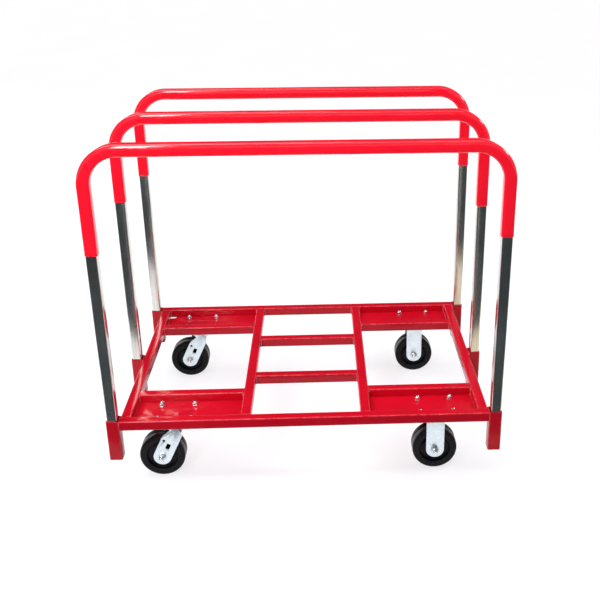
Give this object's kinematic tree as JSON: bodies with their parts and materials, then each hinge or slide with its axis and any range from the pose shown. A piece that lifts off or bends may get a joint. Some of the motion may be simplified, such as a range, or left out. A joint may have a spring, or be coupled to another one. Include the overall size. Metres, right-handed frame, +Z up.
{
  "type": "panel and sheet cart",
  "caption": "Low red square-tube cart on swivel and rigid casters, with upright inverted-U hoops in end sockets that keep sheets and panels standing on edge.",
  "frame": {"origin": "on the floor, under the centre of the deck", "axes": "+X along the deck's length towards the rigid casters, +Y across the deck, +Z up"},
  "size_m": [1.0746, 0.757, 0.969],
  "materials": {
    "red_paint": "gloss red enamel on welded steel",
    "zinc_tube": "bright drawn steel tube, zinc plated",
    "red_vinyl": "gloss red vinyl sleeve",
    "zinc_caster": "zinc plated pressed steel",
    "zinc_bolt": "zinc plated fasteners",
    "black_wheel": "moulded black phenolic"
  },
  "bodies": {
    "frame": {"side_rail_front": "red_paint", "side_rail_rear": "red_paint", "end_rail_left": "red_paint", "end_rail_right": "red_paint", "crossmember_left": "red_paint", "crossmember_right": "red_paint", "centre_bar_front": "red_paint", "centre_bar_rear": "red_paint", "tray_rail_front_left": "red_paint", "tray_rail_front_right": "red_paint", "tray_rail_rear_left": "red_paint", "tray_rail_rear_right": "red_paint", "tray_plate_front_left": "red_paint", "tray_plate_front_right": "red_paint", "tray_plate_rear_left": "red_paint", "tray_plate_rear_right": "red_paint", "socket_front_left": "red_paint", "socket_front_right": "red_paint", "socket_middle_left": "red_paint", "socket_middle_right": "red_paint", "socket_rear_left": "red_paint", "socket_rear_right": "red_paint", "swivel_plate_front": "zinc_caster", "swivel_plate_rear": "zinc_caster", "kingpin_front": "zinc_bolt", "kingpin_rear": "zinc_bolt", "rigid_fork_front": "zinc_caster", "rigid_fork_rear": "zinc_caster", "axle_front_right": "zinc_bolt", "axle_rear_right": "zinc_bolt", "bolt_front_left_1": "zinc_bolt", "bolt_front_left_2": "zinc_bolt", "bolt_front_left_3": "zinc_bolt", "bolt_front_left_4": "zinc_bolt", "bolt_front_right_1": "zinc_bolt", "bolt_front_right_2": "zinc_bolt", "bolt_front_right_3": "zinc_bolt", "bolt_front_right_4": "zinc_bolt", "bolt_rear_left_1": "zinc_bolt", "bolt_rear_left_2": "zinc_bolt", "bolt_rear_left_3": "zinc_bolt", "bolt_rear_left_4": "zinc_bolt", "bolt_rear_right_1": "zinc_bolt", "bolt_rear_right_2": "zinc_bolt", "bolt_rear_right_3": "zinc_bolt", "bolt_rear_right_4": "zinc_bolt"},
    "hoop_front": {"hoop_tube_front": "zinc_tube", "hoop_sleeve_front": "red_vinyl"},
    "hoop_middle": {"hoop_tube_middle": "zinc_tube", "hoop_sleeve_middle": "red_vinyl"},
    "hoop_rear": {"hoop_tube_rear": "zinc_tube", "hoop_sleeve_rear": "red_vinyl"},
    "swivel_front": {"swivel_fork_front": "zinc_caster", "axle_front_left": "zinc_bolt"},
    "wheel_front_left": {"wheel_front_left": "black_wheel"},
    "wheel_front_right": {"wheel_front_right": "black_wheel"},
    "swivel_rear": {"swivel_fork_rear": "zinc_caster", "axle_rear_left": "zinc_bolt"},
    "wheel_rear_left": {"wheel_rear_left": "black_wheel"},
    "wheel_rear_right": {"wheel_rear_right": "black_wheel"}
  },
  "joints": [
    {"name": "hoop_front_lift", "type": "slide", "parent": "frame", "child": "hoop_front", "axis": [0, 0, 1], "range_m": [0, 0.12]},
    {"name": "hoop_middle_lift", "type": "slide", "parent": "frame", "child": "hoop_middle", "axis": [0, 0, 1], "range_m": [0, 0.12]},
    {"name": "hoop_rear_lift", "type": "slide", "parent": "frame", "child": "hoop_rear", "axis": [0, 0, 1], "range_m": [0, 0.12]},
    {"name": "swivel_front_turn", "type": "hinge", "parent": "frame", "child": "swivel_front", "pos_m": [-0.361, -0.294, 0.166], "axis": [0, 0, 1], "continuous": true},
    {"name": "wheel_front_left_roll", "type": "hinge", "parent": "swivel_front", "child": "wheel_front_left", "pos_m": [-0.407, -0.294, 0.0635], "axis": [0, 1, 0], "continuous": true},
    {"name": "wheel_front_right_roll", "type": "hinge", "parent": "frame", "child": "wheel_front_right", "pos_m": [0.363, -0.294, 0.0635], "axis": [0, 1, 0], "continuous": true},
    {"name": "swivel_rear_turn", "type": "hinge", "parent": "frame", "child": "swivel_rear", "pos_m": [-0.361, 0.294, 0.166], "axis": [0, 0, 1], "continuous": true},
    {"name": "wheel_rear_left_roll", "type": "hinge", "parent": "swivel_rear", "child": "wheel_rear_left", "pos_m": [-0.407, 0.294, 0.0635], "axis": [0, 1, 0], "continuous": true},
    {"name": "wheel_rear_right_roll", "type": "hinge", "parent": "frame", "child": "wheel_rear_right", "pos_m": [0.363, 0.294, 0.0635], "axis": [0, 1, 0], "continuous": true}
  ]
}
